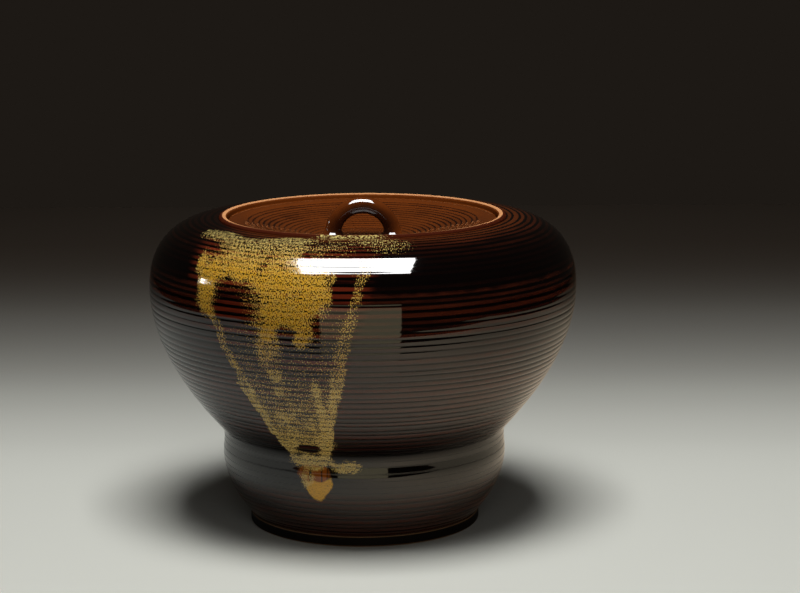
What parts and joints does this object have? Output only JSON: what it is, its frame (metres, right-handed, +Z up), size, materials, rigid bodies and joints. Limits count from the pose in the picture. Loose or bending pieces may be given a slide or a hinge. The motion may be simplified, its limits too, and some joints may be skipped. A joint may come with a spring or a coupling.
{
  "type": "mizusashi water jar",
  "caption": "Lidded stoneware jar for fresh tea-ceremony water: a combed round bowl on a drum base, with an inset dished lid that lifts off by a clay loop.",
  "frame": {"origin": "on the jar's axis, in the plane that the foot ring stands on", "axes": "+Z up the jar's axis; the lid's loop spans X, so -Y is the side that faces the viewer"},
  "size_m": [0.1999, 0.2, 0.1538],
  "materials": {
    "iron_glaze": "glossy iron-brown glaze that breaks red-brown on the combed ridges",
    "amber_glaze": "glossy amber-brown glaze over fine combed rings and the loop",
    "bare_stoneware": "unglazed fired clay, toasted brown"
  },
  "bodies": {
    "jar": {"jar_body": "iron_glaze", "foot_ring": "bare_stoneware"},
    "lid": {"lid_plate": "amber_glaze", "lid_loop": "amber_glaze"}
  },
  "joints": [
    {"name": "lid_lift", "type": "slide", "parent": "jar", "child": "lid", "axis": [0, 0, 1], "range_m": [0, 0.1]}
  ]
}
